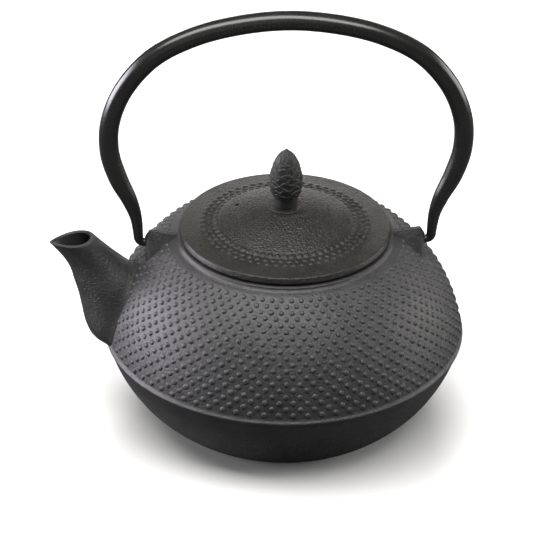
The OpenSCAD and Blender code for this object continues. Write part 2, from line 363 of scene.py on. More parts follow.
class Nodes:
    """Short calls for building a material's node tree."""

    def __init__(self, name):
        self.material = bpy.data.materials.new(name)
        self.material.use_nodes = True
        self.tree = self.material.node_tree
        self.shader = self.tree.nodes["Principled BSDF"]
        self.place = self.tree.nodes.new("ShaderNodeTexCoord").outputs["Object"]

    def node(self, kind, **values):
        made = self.tree.nodes.new(kind)
        for key, value in values.items():
            if key in made.inputs:
                made.inputs[key].default_value = value
            else:
                setattr(made, key, value)
        return made

    def link(self, a, b):
        self.tree.links.new(a, b)

    def noise(self, size_mm, detail=3.0, rough=0.55):
        """Noise whose blobs are about size_mm across."""
        made = self.node("ShaderNodeTexNoise", Scale=1 / (size_mm * MM), Detail=detail, Roughness=rough)
        self.link(self.place, made.inputs["Vector"])
        return made.outputs["Fac"]

    def cells(self, size_mm):
        """Distance from the middles of cells that are about size_mm across."""
        made = self.node("ShaderNodeTexVoronoi", Scale=1 / (size_mm * MM))
        self.link(self.place, made.inputs["Vector"])
        return made.outputs["Distance"]

    def ramp(self, source, stops):
        made = self.node("ShaderNodeValToRGB")
        ramp = made.color_ramp
        while len(ramp.elements) < len(stops):
            ramp.elements.new(0.5)
        for element, (at, colour) in zip(ramp.elements, stops):
            element.position = at
            element.color = (*colour, 1)
        self.link(source, made.inputs[0])
        return made.outputs["Color"]

    def spread(self, source, low, high, out_low, out_high):
        made = self.node("ShaderNodeMapRange", **{
            "From Min": low, "From Max": high, "To Min": out_low, "To Max": out_high})
        self.link(source, made.inputs["Value"])
        return made.outputs["Result"]

    def blend(self, how, amount, a, b):
        made = self.node("ShaderNodeMix", data_type="RGBA", blend_type=how)
        if isinstance(amount, float):
            made.inputs[0].default_value = amount
        else:
            self.link(amount, made.inputs[0])
        for socket, source in ((6, a), (7, b)):
            if isinstance(source, tuple):
                made.inputs[socket].default_value = (*source, 1)
            else:
                self.link(source, made.inputs[socket])
        return made.outputs[2]

    def bump(self, height, strength, depth_mm, under=None):
        made = self.node("ShaderNodeBump", Strength=strength, Distance=depth_mm * MM)
        self.link(height, made.inputs["Height"])
        if under:
            self.link(under, made.inputs["Normal"])
        return made.outputs["Normal"]

    def finish(self, colour, roughness, normal, **constants):
        self.link(colour, self.shader.inputs["Base Color"])
        self.link(roughness, self.shader.inputs["Roughness"])
        self.link(normal, self.shader.inputs["Normal"])
        for key, value in constants.items():
            self.shader.inputs[key.replace("_", " ")].default_value = value
        return self.material


GRIT_FADE = 18


def iron(name, dark, light, rough, grain_mm=0.45, grain_depth=0.07,
         hide_depth=0.0, grit_below=0.0, gloss=0.5):
    """Matt, lacquered sand-cast iron: mottled colour, fine sandy grain and shallow pits.  A lid's
    surface has a finely wrinkled hide too, and a vessel's is gritty below a height in mm."""
    n = Nodes(name)
    mottle = n.noise(9.0, 4.0, 0.6)
    speckle = n.noise(0.7, 3.0, 0.6)
    base = n.ramp(mottle, [(0.32, dark), (0.68, light)])
    worn = n.ramp(speckle, [(0.35, (0.62, 0.62, 0.62)), (0.65, (1.2, 1.2, 1.2))])
    colour = n.blend("MULTIPLY", 1.0, base, worn)
    roughness = n.spread(speckle, 0.3, 0.7, rough - 0.06, rough + 0.1)
    sand = n.bump(n.spread(n.noise(grain_mm, 3.0, 0.6), 0.3, 0.7, 0.0, 1.0), 0.9, grain_depth)
    pits = n.bump(n.spread(n.cells(1.9), 0.0, 0.35, 0.0, 1.0), 0.25, 0.05, sand)
    swell = n.bump(n.noise(6.0, 2.0), 0.5, 0.12, pits)
    if hide_depth:
        swell = n.bump(n.spread(n.cells(1.15), 0.1, 0.6, 1.0, 0.0), 0.6, hide_depth, swell)
    if grit_below:
        height = n.node("ShaderNodeSeparateXYZ")
        n.link(n.place, height.inputs[0])
        full_grit = grit_below - GRIT_FADE
        low_down = n.spread(height.outputs["Z"], full_grit * MM, grit_below * MM, 1.0, 0.0)
        specks = n.ramp(n.noise(1.0, 3.0, 0.7), [(0.50, (0, 0, 0)), (0.66, (0.085, 0.082, 0.075))])
        colour = n.blend("ADD", low_down, colour, specks)
        grit = n.node("ShaderNodeMath", operation="MULTIPLY")
        n.link(low_down, grit.inputs[0])
        n.link(n.spread(n.noise(1.3, 4.0, 0.7), 0.3, 0.7, 0.0, 1.0), grit.inputs[1])
        swell = n.bump(grit.outputs[0], 1.0, 1.6, swell)
    return n.finish(colour, roughness, swell, Specular_IOR_Level=gloss)


def enamel(name):
    """The thin dark glaze fired on inside the vessel and under the lid."""
    n = Nodes(name)
    speckle = n.noise(1.2, 3.0)
    colour = n.ramp(speckle, [(0.3, (0.010, 0.010, 0.011)), (0.7, (0.022, 0.021, 0.021))])
    roughness = n.spread(n.noise(5.0), 0.3, 0.7, 0.30, 0.42)
    return n.finish(colour, roughness, n.bump(n.noise(2.6, 3.0), 0.4, 0.08))


def black_lacquer(name):
    """Satin black lacquer over a steel tube, with faint dust and rub marks."""
    n = Nodes(name)
    rub = n.noise(14.0, 5.0, 0.62)
    fine = n.noise(0.5, 3.0, 0.6)
    colour = n.ramp(rub, [(0.3, (0.0075, 0.0075, 0.0075)), (0.75, (0.013, 0.0128, 0.0125))])
    roughness = n.spread(fine, 0.3, 0.7, 0.21, 0.29)
    peel = n.bump(n.noise(1.6, 2.0), 0.25, 0.03)
    return n.finish(colour, roughness, n.bump(fine, 0.3, 0.012, peel))


def steel(name, shine):
    """Stainless steel with fine drawing marks."""
    n = Nodes(name)
    marks = n.node("ShaderNodeTexNoise", Scale=1 / MM, Detail=3.0)
    squeeze = n.node("ShaderNodeMapping")
    squeeze.inputs["Scale"].default_value = (0.4, 0.4, 4.0)
    n.link(n.place, squeeze.inputs["Vector"])
    n.link(squeeze.outputs["Vector"], marks.inputs["Vector"])
    lines = marks.outputs["Fac"]
    colour = n.ramp(lines, [(0.3, (0.50, 0.50, 0.51)), (0.7, (0.66, 0.66, 0.67))])
    roughness = n.spread(lines, 0.3, 0.7, shine, shine + 0.12)
    return n.finish(colour, roughness, n.bump(lines, 0.3, 0.01), Metallic=1.0)


vessel_iron = iron("cast_iron_vessel", (0.019, 0.0185, 0.020), (0.031, 0.030, 0.031), 0.44,
                   grain_mm=1.05, grain_depth=0.18, grit_below=38)
spout_iron = iron("cast_iron_spout", (0.014, 0.014, 0.0145), (0.023, 0.023, 0.0235), 0.44,
                  grain_mm=1.05, grain_depth=0.2, gloss=0.42)
# The lid's iron tones are set darker than the vessel's iron as painted shade, keeping its upward faces
# dark under the lamps.
lid_iron_painted_shade = iron("cast_iron_lid", (0.013, 0.0127, 0.0113), (0.020, 0.0195, 0.0178), 0.31,
                hide_depth=0.2, gloss=0.29)
knob_iron = iron("cast_iron_knob", (0.012, 0.0118, 0.012), (0.021, 0.0205, 0.0205), 0.50,
                 grain_mm=0.8, grain_depth=0.16, gloss=0.4)
glaze = enamel("enamel")
lacquer = black_lacquer("black_lacquer")
polished = steel("stainless_steel", 0.24)
hardware = steel("steel_hardware", 0.34)


# ---------------------------------------------------------------- vessel casting

STUDS_ROUND = 80
STUD_ROWS = 19
STUD_LOW_Z, STUD_HIGH_Z = 48.6, 95.2
STUD_R_LOW, STUD_R_HIGH = 1.5, 1.25
STUD_PROFILE = [(1.0, 0.0), (0.84, 0.55), (0.50, 0.93)]
STUD_TURN = 0.22
CELL_SIDES = 12
CELL_COLUMNS = 4
COLUMNS = STUDS_ROUND * CELL_COLUMNS
STUD_CLEAR = 1.0
STUD_NUDGE, STUD_SIZE_SPREAD, STUD_TALL_SPREAD = 0.07, 0.04, 0.07
STUD_MARGIN = 0.06
BASE_FLAT_R, BASE_R, BASE_ROUND_Z = 50, 57.2, 3
INSIDE_COLUMNS = 160
VESSEL_SEED = 11

shoulder_centre = (SURFACE_R - math.sqrt(SHOULDER_ROUND ** 2 - (SEAM_Z - SHOULDER_Z) ** 2), SHOULDER_Z)
bowl_centre = (BODY_R - 1 - math.sqrt(BOWL_ROUND ** 2 - (BOWL_Z - STEP_Z) ** 2), BOWL_Z)


def shoulder_angle(z):
    """The shoulder arc's angle at a height."""
    return math.asin((z - SHOULDER_Z) / SHOULDER_ROUND)


STUD_PITCH = (shoulder_angle(STUD_HIGH_Z) - shoulder_angle(STUD_LOW_Z)) / (STUD_ROWS - 1)
BAND_LOW = shoulder_angle(STUD_LOW_Z) - STUD_PITCH / 2


def shoulder_point(column, up, raised=0.0):
    """The shoulder's point at a column (0 to COLUMNS) and an arc angle, raised along its normal."""
    r, z = polar(shoulder_centre, SHOULDER_ROUND + raised, up)
    turn = TURN * column / COLUMNS
    return r * math.cos(turn), r * math.sin(turn), z


def add_studs(skin, draw, blocked):
    """The band of staggered rows of studs.  Each stud sits in a cell whose sides it shares with its
    neighbours.  Gives the band's lowest and highest rings."""
    lines = [skin.add(shoulder_point(c, BAND_LOW + STUD_PITCH * k) for c in range(COLUMNS))
             for k in range(STUD_ROWS + 1)]
    for row in range(STUD_ROWS):
        low, high = lines[row], lines[row + 1]
        up = BAND_LOW + STUD_PITCH * (row + 0.5)
        shift = CELL_COLUMNS // 2 * ((row + 1) % 2)
        sides = skin.add(shoulder_point(CELL_COLUMNS * i + shift, up) for i in range(STUDS_ROUND))
        part = row / (STUD_ROWS - 1)
        stud_r = STUD_R_LOW + (STUD_R_HIGH - STUD_R_LOW) * part
        ground_r = polar(shoulder_centre, SHOULDER_ROUND, up)[0]
        for i in range(STUDS_ROUND):
            start = CELL_COLUMNS * i + shift
            columns = [(start + k) % COLUMNS for k in range(CELL_COLUMNS + 1)]
            border = ([low[c] for c in columns] + [sides[(i + 1) % STUDS_ROUND]]
                      + [high[c] for c in reversed(columns)] + [sides[i]])
            nudge = draw.normal(0, STUD_NUDGE, 2)
            size = stud_r * (1 + draw.normal(0, STUD_SIZE_SPREAD))
            tall = (STUD_H - STUD_MARGIN) * (1 - abs(draw.normal(0, STUD_TALL_SPREAD)))
            middle_column = start + CELL_COLUMNS / 2 + STUD_TURN + nudge[0] / ground_r * COLUMNS / TURN
            middle_up = up + nudge[1] / SHOULDER_ROUND
            if blocked(shoulder_point(middle_column, middle_up)):
                tall = 0.0
            ring_before = border
            for part_r, part_h in STUD_PROFILE:
                ring = skin.add(
                    shoulder_point(
                        middle_column + size * part_r * math.cos(a) / ground_r * COLUMNS / TURN,
                        middle_up + size * part_r * math.sin(a) / SHOULDER_ROUND,
                        tall * part_h)
                    for a in (math.radians(-150 + 360 / CELL_SIDES * k) for k in range(CELL_SIDES)))
                skin.band(ring_before, ring)
                ring_before = ring
            top = skin.add([shoulder_point(middle_column, middle_up, tall)])
            skin.fan(top[0], ring_before, False)
    return lines[0], lines[-1]


def vessel_outside(draw, blocked):
    """The whole outside of the vessel as a closed solid, studs and seam ridge and collar included."""
    skin = Skin()
    bowl = arc_points(bowl_centre, BOWL_ROUND, BASE_ROUND_Z, STEP_Z, 26)
    base = rounded([(0, 0, 0), (BASE_FLAT_R, 0, 0), (BASE_R, 0, 1.2), (*bowl[0], 0)])
    ridge = rounded([(BODY_R - 0.75, SEAM_Z - 1.1, 0), (BODY_R, SEAM_Z - 0.25, 0.5),
                     (BODY_R, SEAM_Z + 0.6, 0.5), (BODY_R - 0.75, SEAM_Z + 1.35, 0.5),
                     (*polar(shoulder_centre, SHOULDER_ROUND, shoulder_angle(SEAM_Z + 2.1)), 0)], 3)
    _, under_band = skin.revolve(base + bowl[1:] + ridge, COLUMNS)
    band_low, band_high = add_studs(skin, draw, blocked)
    skin.band(under_band, band_low)
    fillet_z = COLLAR_Z - 3.1
    collar = rounded([(COLLAR_R + 2.9, fillet_z + 0.5, 0), (COLLAR_R + 1.0, fillet_z + 1.0, 1.2),
                      (COLLAR_R, fillet_z + 2.1, 0.8), (COLLAR_R, COLLAR_Z, 0.9),
                      (RECESS_R - 4, COLLAR_Z, 0), (0, COLLAR_Z, 0)])
    over_band, _ = skin.revolve(collar, COLUMNS)
    skin.band(band_high, over_band)
    return skin


def vessel_inside():
    """The tea space, the mouth and the recess for the infuser's flange, as a closed solid."""
    bowl = arc_points(bowl_centre, BOWL_ROUND - WALL, FLOOR_T + 2, STEP_Z, 12)
    shoulder = arc_points(shoulder_centre, SHOULDER_ROUND - WALL, SEAM_Z, COLLAR_Z - 7.6, 14)
    recess_z = COLLAR_Z - RECESS_DEPTH
    mouth = rounded([(MOUTH_R, recess_z - 4, 0), (MOUTH_R, recess_z, 0.4), (RECESS_R, recess_z, 0.3),
                     (RECESS_R, COLLAR_Z, 0.5), (RECESS_R + 0.6, COLLAR_Z + 0.6, 0.3),
                     (RECESS_R + 0.6, COLLAR_Z + 4, 0), (0, COLLAR_Z + 4, 0)], 3)
    skin = Skin()
    floor_line = rounded([(0, FLOOR_T, 0), (46, FLOOR_T, 0), (57.5, FLOOR_T, 3), (*bowl[0], 0)])
    skin.revolve(floor_line + bowl[1:] + shoulder + mouth, INSIDE_COLUMNS)
    return skin


# Spout: rings from the lip down to the foot, each [inner x, z, outer x, z, half width, point].
SPOUT_RINGS = np.array([
    [-94.4, 97.6, -116.8, 95, 8.3, 0.36],
    [-89.8, 93.2, -110.8, 87.8, 8.7, 0.26],
    [-85, 88.6, -106.8, 81, 10, 0.18],
    [-79.6, 83.8, -104.8, 73.8, 12.2, 0.12],
    [-73.5, 78.2, -102.8, 66.6, 14.8, 0.08],
    [-69.5, 70, -101.3, 58.8, 17.2, 0.05],
    [-69, 58.4, -99.6, 50.4, 19.2, 0.02],
    [-69.5, 49, -96.4, 45.2, 19.6, 0],
    [-70, 43.6, -88.6, 42.6, 17.5, 0]])
SPOUT_SIDES = 72
SPOUT_STEPS = 7
LIP_ROUND = 0.75
ROOT_FLARE, ROOT_REACH = 1.0, 2.6
BORE_PAST_LIP = 3


def spline(keys, at):
    """The Catmull-Rom curve through the keys, at a place counted in keys."""
    last = len(keys) - 1
    i = min(int(at), last - 1)
    t = at - i
    a, b, c, d = (keys[max(0, min(last, i + k))] for k in (-1, 0, 1, 2))
    return 0.5 * (2 * b + (c - a) * t + (2 * a - 5 * b + 4 * c - d) * t * t
                  + (3 * b - a - 3 * c + d) * t ** 3)


def ring_width(a, q):
    """Half width at angle a of a ring that is round inside and pointed outside."""
    peak = 2 * math.sqrt(1 / (2 + 2 * q)) * ((1 + 2 * q) / (2 + 2 * q)) ** ((1 + 2 * q) / 2)
    turned = min(a, TURN - a)
    side = 2 * math.sin(turned / 2) * abs(math.cos(turned / 2)) ** (1 + 2 * q) / peak
    return side if a <= math.pi else -side


def spout_ring(key, inset):
    """One ring of the spout, drawn in by an inset."""
    inner, outer = np.array(key[0:2]), np.array(key[2:4])
    middle = (inner + outer) / 2
    half = np.linalg.norm(inner - outer) / 2
    way = (inner - outer) / (2 * half)
    points = []
    for i in range(SPOUT_SIDES):
        a = TURN * i / SPOUT_SIDES
        x, z = middle + way * (half - inset * 1.15) * math.cos(a)
        points.append((x, (key[4] - inset) * ring_width(a, key[5]), z))
    return points


def over_vessel(point):
    """How far a point stands outside the vessel's plain shoulder or bowl."""
    r = math.hypot(point[0], point[1])
    centre, radius = (shoulder_centre, SHOULDER_ROUND) if point[2] > SEAM_Z else (bowl_centre, BOWL_ROUND)
    return math.hypot(r - centre[0], point[2] - centre[1]) - radius


def flared(points):
    """The ring's points moved outward near the vessel, where the spout's root is blended in."""
    middle = np.mean(np.array(points), axis=0)
    made = []
    for p in np.array(points):
        near = max(0.0, 1 - max(0.0, over_vessel(p)) / ROOT_REACH)
        way = p - middle
        made.append(p + way / np.linalg.norm(way) * ROOT_FLARE * near * near)
    return made


def lip_places():
    """Places along the spout's keys close under the lip, spaced for the lip's round."""
    spacing = np.linalg.norm((SPOUT_RINGS[0, 0:4] - SPOUT_RINGS[1, 0:4]).reshape(2, 2).mean(axis=0))
    return [(d, d / spacing) for d in LIP_ROUND * (1 - np.cos(np.radians([0, 25, 45, 65, 90])))]


def lip_draw_in(depth):
    """How far the lip's round draws a surface in at a depth below the lip."""
    left = LIP_ROUND - depth
    return LIP_ROUND - math.sqrt(max(0.0, LIP_ROUND ** 2 - left ** 2))


def loft(rings):
    """A closed solid through rings of as many points, with a fan over each end."""
    skin = Skin()
    made = [skin.add(points) for points in rings]
    for low, high in zip(made, made[1:]):
        skin.band(low, high)
    for ring, first in ((made[0], True), (made[-1], False)):
        centre = skin.add([np.mean([skin.points[i] for i in ring], axis=0)])
        skin.fan(centre[0], ring, first)
    skin.face_outward()
    return skin


def spout_outside():
    places = [at for _, at in lip_places()]
    rings = [spout_ring(spline(SPOUT_RINGS, at), 0.55 * lip_draw_in(d)) for d, at in lip_places()]
    last = len(SPOUT_RINGS) - 1
    steps = [i / SPOUT_STEPS for i in range(1, last * SPOUT_STEPS + 1) if i / SPOUT_STEPS > places[-1]]
    rings += [flared(spout_ring(spline(SPOUT_RINGS, at), 0)) for at in steps]
    return loft(rings)


def spout_bore():
    """The spout's inside, carried on past the lip so that it cuts right through."""
    top = spline(SPOUT_RINGS, 0) + BORE_PAST_LIP * np.array([1, 1, 0, 1, 0, 0])
    rings = [spout_ring(top, SPOUT_WALL - LIP_ROUND)]
    rings += [spout_ring(spline(SPOUT_RINGS, at), SPOUT_WALL - lip_draw_in(d)) for d, at in lip_places()]
    last = len(SPOUT_RINGS) - 2
    lowest = lip_places()[-1][1]
    steps = [i / SPOUT_STEPS for i in range(1, last * SPOUT_STEPS + 1) if i / SPOUT_STEPS > lowest]
    rings += [spout_ring(spline(SPOUT_RINGS, at), SPOUT_WALL) for at in steps]
    return loft(rings)


def ball_points(centre, radius, count=14):
    made = []
    for i in range(1, count):
        down = math.pi * i / count
        ring_r, z = radius * math.sin(down), centre[2] + radius * math.cos(down)
        made += [(*polar(centre, ring_r, TURN * k / count), z) for k in range(count)]
    return made


def ear_lug(side):
    """One ear: a wedge from a narrow ridge on top down to a broad foot, with a blunt nose."""
    corner = FOOT_CORNER
    points = ball_points((COLLAR_R - RIDGE_IN_COLLAR, 0, COLLAR_Z - RIDGE_HALF), RIDGE_HALF)
    points += ball_points((EAR_NOSE_X - RIDGE_SET_BACK, 0, EAR_TOP_Z - RIDGE_HALF), RIDGE_HALF)
    points += ball_points((EAR_NOSE_X - NOSE_HALF, 0, pivot_z + NOSE_UP), NOSE_HALF)
    for turned in (-1, 1):
        for x, y in ((EAR_NOSE_X - FOOT_SET_BACK, EAR_HALF_W), (EAR_NOSE_X, EAR_HALF_W - FOOT_TAPER)):
            points += ball_points((x - corner, turned * (y - corner), EAR_FOOT_Z + corner), corner)
        points += [(COLLAR_R - EAR_IN_COLLAR, turned * EAR_HALF_W, EAR_FOOT_Z)]
    bm = bmesh.new()
    for x, y, z in points:
        bm.verts.new((side * x * MM, y * MM, z * MM))
    bmesh.ops.convex_hull(bm, input=bm.verts)
    loose = [v for v in bm.verts if not v.link_faces]
    bmesh.ops.delete(bm, geom=loose, context="VERTS")
    bmesh.ops.recalc_face_normals(bm, faces=bm.faces)
    mesh = bpy.data.meshes.new("ear")
    bm.to_mesh(mesh)
    bm.free()
    made = bpy.data.objects.new("ear", mesh)
    bpy.context.scene.collection.objects.link(made)
    mesh.materials.append(spout_iron)
    return made


def rod(start, way, length, radius, sides=32):
    """A plain closed rod, for cutting a round hole."""
    axis = np.array(way, float) / np.linalg.norm(way)
    across = np.cross(axis, (0, 1, 0)) if abs(axis[1]) < 0.9 else np.cross(axis, (1, 0, 0))
    across /= np.linalg.norm(across)
    other = np.cross(axis, across)
    rings = []
    for far in (0, length):
        centre = np.array(start, float) + axis * far
        angles = [TURN * k / sides for k in range(sides)]
        rings.append([centre + radius * (math.cos(a) * across + math.sin(a) * other) for a in angles])
    return loft(rings)


def object_tree(made):
    """A search tree of an object's faces, in millimetres."""
    points = [v.co / MM for v in made.data.vertices]
    return BVHTree.FromPolygons(points, [face.vertices for face in made.data.polygons])


def make_vessel():
    draw = np.random.default_rng(VESSEL_SEED)
    outer = spout_outside()
    near_spout = outer.tree()
    left, right = ear_lug(-1), ear_lug(1)
    near_ears = [object_tree(ear) for ear in (left, right)]

    def blocked(point):
        outward = (Vector(point) - Vector((0, 0, SHOULDER_Z))).normalized()
        for tree in [near_spout] + near_ears:
            if tree.find_nearest(point)[3] < STUD_CLEAR:
                return True
            _, normal, _, _ = tree.ray_cast(point, outward)
            if normal is not None and normal.dot(outward) > 0:
                return True
        return False

    vessel = vessel_outside(draw, blocked).object("vessel_casting", vessel_iron)
    boolean(vessel, outer.object("spout_form", spout_iron), "UNION")
    boolean(vessel, left, "UNION")
    boolean(vessel, right, "UNION")
    boolean(vessel, vessel_inside().object("inside_form", glaze), "DIFFERENCE")
    boolean(vessel, spout_bore().object("bore_form", glaze), "DIFFERENCE")
    for side in (-1, 1):
        hole = rod((side * (EAR_NOSE_X - EAR_HOLE_DEPTH), 0, pivot_z), (side, 0, 0), 20, EAR_HOLE_R)
        boolean(vessel, hole.object("hole_form", spout_iron), "DIFFERENCE")
    shade(vessel, 38)
    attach(vessel, "vessel")
    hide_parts("vessel_body", "spout", "ear_left", "ear_right")


# ---------------------------------------------------------------- lid casting

LID_R = lid_high[1]
LID_Z = lid_low[2] + 7.0
LID_TOP = LID_Z + 4.0
BOSS_R = 8.8
BOSS_TOP = knob_low[2]
DOME_FOOT = (36.0, LID_TOP + 1.6)
DOME_CROWN = (BOSS_R, BOSS_TOP - 1.0)
DOME_ROUND = 170.0
LID_BODY_T = 3.4
SKIRT_R = 43.5
VENT_TURN, VENT_AT, VENT_R = math.radians(157), 25.6, 1.25
LID_COLUMNS = 660
BEAD_RINGS = (34.8, 37.75, 40.7)
BEADS_ROUND = 60
BEAD_R, BEAD_H = 1.3, 0.60
PEBBLE_SPACING, PEBBLE_H = 1.4, 0.30
PEBBLE_EDGE = 33.2
PEBBLE_JITTER, PEBBLE_FILL = 0.15, 0.56
ROW_PACKING = 0.87
LID_SEED = 23
SCREW_HOLE_R = 2.1


def dome_arc(inset, steps):
    """The dome's arc from its foot up to the boss."""
    foot, crown = np.array(DOME_FOOT), np.array(DOME_CROWN)
    half = np.linalg.norm(crown - foot) / 2
    across = np.array((crown[1] - foot[1], foot[0] - crown[0])) / (-2 * half)
    centre = (foot + crown) / 2 + math.sqrt(DOME_ROUND ** 2 - half ** 2) * across
    start = math.atan2(*(foot - centre)[::-1])
    end = math.atan2(*(crown - centre)[::-1])
    return [polar(centre, DOME_ROUND - inset, start + (end - start) * i / steps) for i in range(steps + 1)]


def pebble_field(draw):
    """A height function for the dome's hammered pebbles: uneven low domes, close together."""
    spots = []
    rows = int(2 * PEBBLE_EDGE / (PEBBLE_SPACING * ROW_PACKING))
    for row in range(rows):
        y = -PEBBLE_EDGE + row * PEBBLE_SPACING * ROW_PACKING
        for column in range(int(2 * PEBBLE_EDGE / PEBBLE_SPACING)):
            x = -PEBBLE_EDGE + (column + 0.5 * (row % 2)) * PEBBLE_SPACING
            spot_x, spot_y = np.array((x, y)) + draw.normal(0, PEBBLE_JITTER, 2) * PEBBLE_SPACING
            spots.append((spot_x, spot_y, draw.uniform(0.55, 1.0), draw.uniform(0.85, 1.2)))
    tree = KDTree(len(spots))
    for i, spot in enumerate(spots):
        tree.insert((spot[0], spot[1], 0), i)
    tree.balance()

    def height(x, y):
        best = 0.0
        for _, i, distance in tree.find_n((x, y, 0), 3):
            size = PEBBLE_SPACING * PEBBLE_FILL * spots[i][3]
            best = max(best, spots[i][2] * (1 - (distance / size) ** 2))
        return PEBBLE_H * best

    return height


def bead_height(r, turn):
    """Height of the three rings of beads, which are staggered from ring to ring."""
    for k, ring_r in enumerate(BEAD_RINGS):
        pitch = TURN / BEADS_ROUND
        off = (turn / pitch + 0.5 * (k % 2)) % 1 - 0.5
        away = math.hypot(off * pitch * ring_r, r - ring_r) / BEAD_R
        if away < 1:
            return BEAD_H * math.sqrt(1 - away * away) * (1 - 0.25 * (1 - away))
    return 0.0


def lid_outline():
    """The lid's closed outline, from the screw hole underneath, out and round to the hole on top."""
    hole_r = SCREW_HOLE_R
    under = [(hole_r, DOME_CROWN[1] - LID_BODY_T), (BOSS_R, DOME_CROWN[1] - LID_BODY_T)]
    under += dome_arc(LID_BODY_T, 12)[::-1]
    skirt = rounded([(SKIRT_R - 3, LID_Z + 1.2, 0), (SKIRT_R - 3, lid_low[2], 0.5),
                     (SKIRT_R, lid_low[2], 0.5), (SKIRT_R, LID_Z, 0.4),
                     (LID_R - 1.9, LID_Z, 0.2), (LID_R, LID_Z + 1.3, 0.5),
                     (LID_R - 0.9, LID_TOP, 0.6), (LID_R - 2.4, LID_TOP + 0.16, 0.3)], 4)
    flat = split_line([(LID_R - 2.4, LID_TOP + 0.16), (SKIRT_R - 1, LID_TOP + 0.9)], 0.9)
    beads = split_line([(SKIRT_R - 1, LID_TOP + 0.9), DOME_FOOT], 0.33)
    dome = split_line(dome_arc(0, 60), 0.36)
    boss = rounded([(BOSS_R, BOSS_TOP - 1.0, 0), (BOSS_R, BOSS_TOP, 0.5),
                    (BOSS_R - 2.6, BOSS_TOP - 0.12, 0.3), (hole_r, BOSS_TOP - 0.12, 0)], 4)
    line = under + skirt + flat[1:] + beads[1:] + dome[1:] + boss[1:]
    return line, len(under) + len(skirt), len(line) - len(boss)


def make_lid():
    draw = np.random.default_rng(LID_SEED)
    pebbles = pebble_field(draw)
    line, first_top, last_top = lid_outline()
    skin = Skin()
    first, last = skin.revolve(line, LID_COLUMNS)
    skin.band(last, first)
    points = np.array(skin.points)
    for k in range(first_top, last_top):
        slope = np.array(line[k + 1]) - np.array(line[k - 1])
        normal = np.array((slope[1], -slope[0])) / np.linalg.norm(slope)
        r, z = line[k]
        for i in range(LID_COLUMNS):
            turn = TURN * i / LID_COLUMNS
            cos_t, sin_t = math.cos(turn), math.sin(turn)
            up = bead_height(r, turn)
            if r < PEBBLE_EDGE:
                fade = min(1.0, (PEBBLE_EDGE - r) / 1.0, max(0.0, (r - BOSS_R - 0.4) / 1.0))
                up = max(up, fade * pebbles(r * cos_t, r * sin_t))
            points[k * LID_COLUMNS + i] += up * np.array((normal[0] * cos_t, normal[0] * sin_t, normal[1]))
    skin.points = [tuple(p) for p in points]
    lid = skin.object("lid_casting", lid_iron_painted_shade)
    vent_foot = (VENT_AT * math.cos(VENT_TURN), VENT_AT * math.sin(VENT_TURN), LID_Z - 4)
    boolean(lid, rod(vent_foot, (0, 0, 1), 20, VENT_R).object("vent_form", glaze), "DIFFERENCE")
    shade(lid, 50)
    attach(lid, "lid")
    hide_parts("lid_plate")


# ---------------------------------------------------------------- knob

KNOB_TALL = knob_high[2] - knob_low[2]
NECK_R = 5.8
KNOB_OUTLINE = np.array([[NECK_R, 0.11], [6.3, 0.17], [7.3, 0.26], [7.9, 0.37], [7.8, 0.5], [7, 0.64],
                         [5.4, 0.79], [3.1, 0.91], [1, 0.98]])
KNOB_COLUMNS, KNOB_ROWS = 216, 120
SCALES_ROUND, SCALE_TIERS = 8, 10
SCALE_LOW, SCALE_HIGH = 0.19, 0.93
SCALE_H = 0.8
SCALE_SET_BACK = 0.5
NECK_TOP = 0.165
SCREW_BORE_R, SCREW_BORE_DEPTH = 2.0, 10


def scale_height(turn, up):
    """Height of the overlapping scales, whose free tips point up, at a turn and a part of the height."""
    tier_tall = (SCALE_HIGH - SCALE_LOW) / SCALE_TIERS
    best = 0.0
    for tier in range(-1, SCALE_TIERS):
        wobble = 0.16 * math.sin(3.7 * tier + 2 * turn) + 0.09 * math.sin(5.3 * tier + 5 * turn)
        place = turn / TURN * SCALES_ROUND + 0.5 * (tier % 2) + wobble
        across = abs(place % 1 - 0.5) * 2
        uneven = 0.22 * math.sin(2.3 * tier + 4 * turn)
        tip = SCALE_LOW + tier_tall * (tier + 1.4 + uneven - 0.75 * across ** 2.0)
        under = tip - up
        if 0 <= under:
            best = max(best, 1 - under / (tier_tall * 1.9))
    edge = min(1.0, max(0.0, (up - NECK_TOP) / 0.04), max(0.0, (1 - up) / 0.12))
    return SCALE_H * best * edge


def make_knob():
    base_z = knob_low[2]
    neck_top_z = base_z + NECK_TOP * KNOB_TALL
    neck = rounded([(SCREW_BORE_R, base_z, 0), (NECK_R, base_z, 0.4), (NECK_R, neck_top_z, 0)], 3)
    keys = len(KNOB_OUTLINE) - 1
    body = [spline(KNOB_OUTLINE, keys * i / KNOB_ROWS) for i in range(KNOB_ROWS + 1)]
    body = [(r, base_z + part * KNOB_TALL) for r, part in body if part > NECK_TOP + 0.004]
    tip = [(0.45, base_z + 0.996 * KNOB_TALL), (0, knob_high[2])]
    screw_end = [(0, base_z + SCREW_BORE_DEPTH), (SCREW_BORE_R, base_z + SCREW_BORE_DEPTH)]
    line = screw_end + neck + body + tip
    skin = Skin()
    skin.revolve(line, KNOB_COLUMNS)
    made = []
    for x, y, z in skin.points:
        r = math.hypot(x, y)
        part = (z - base_z) / KNOB_TALL
        if r > SCREW_BORE_R + 0.05 or part > 0.5:
            turn = math.atan2(y, x) % TURN
            set_back = SCALE_SET_BACK * SCALE_H * min(1, max(0, (part - NECK_TOP) / 0.05))
            grow = scale_height(turn, part) - set_back
            new_r = max(0.0, r + grow * min(1.0, r / 3)) if r > 0 else 0.0
            x, y = (x * new_r / r, y * new_r / r) if r > 0 else (x, y)
        made.append((x, y, z))
    skin.points = made
    knob = skin.object("knob_cone", knob_iron)
    shade(knob, 60)
    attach(knob, "lid")
    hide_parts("knob")


# ---------------------------------------------------------------- bail

